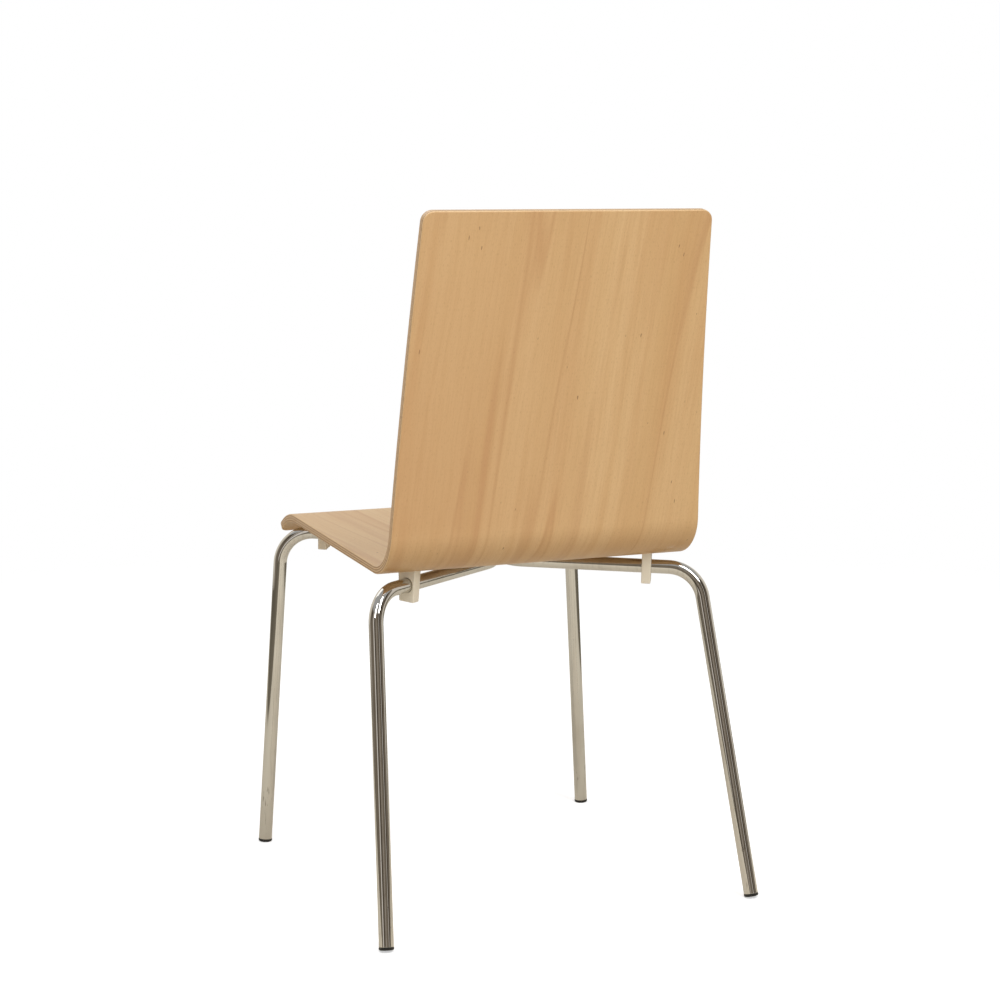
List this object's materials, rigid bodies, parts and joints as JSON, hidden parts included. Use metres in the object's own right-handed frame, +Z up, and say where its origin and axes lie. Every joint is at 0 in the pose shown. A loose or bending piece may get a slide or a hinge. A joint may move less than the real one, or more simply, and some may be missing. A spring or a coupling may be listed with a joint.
{
  "type": "stacking chair",
  "caption": "Armless stacking chair: one-piece bent plywood seat and back, carried on plastic spacers by a splayed tubular steel frame with foot glides.",
  "frame": {"origin": "on the floor, under the middle of the bounding box", "axes": "+Z up; the sitter faces -Y and the back stands at +Y; +X is the sitter's left"},
  "size_m": [0.5166, 0.5128, 0.8724],
  "materials": {
    "shell_plywood": "satin lacquered beech veneer",
    "frame_chrome": "bright chrome plate",
    "weld_metal": "plated weld bead",
    "spacer_plastic": "translucent beige plastic",
    "screw_steel": "zinc plated",
    "insert_brass": "machined",
    "glide_plastic": "black"
  },
  "bodies": {
    "root": {"seat_shell": "shell_plywood", "frame_tube_left": "frame_chrome", "frame_tube_right": "frame_chrome", "middle_weld": "weld_metal", "spacer_front_left": "spacer_plastic", "screw_front_left": "screw_steel", "insert_front_left": "insert_brass", "spacer_front_right": "spacer_plastic", "screw_front_right": "screw_steel", "insert_front_right": "insert_brass", "spacer_rear_left": "spacer_plastic", "screw_rear_left": "screw_steel", "insert_rear_left": "insert_brass", "spacer_rear_right": "spacer_plastic", "screw_rear_right": "screw_steel", "insert_rear_right": "insert_brass", "foot_glide_rear_left": "glide_plastic", "foot_glide_front_left": "glide_plastic", "foot_glide_rear_right": "glide_plastic", "foot_glide_front_right": "glide_plastic"}
  },
  "joints": []
}
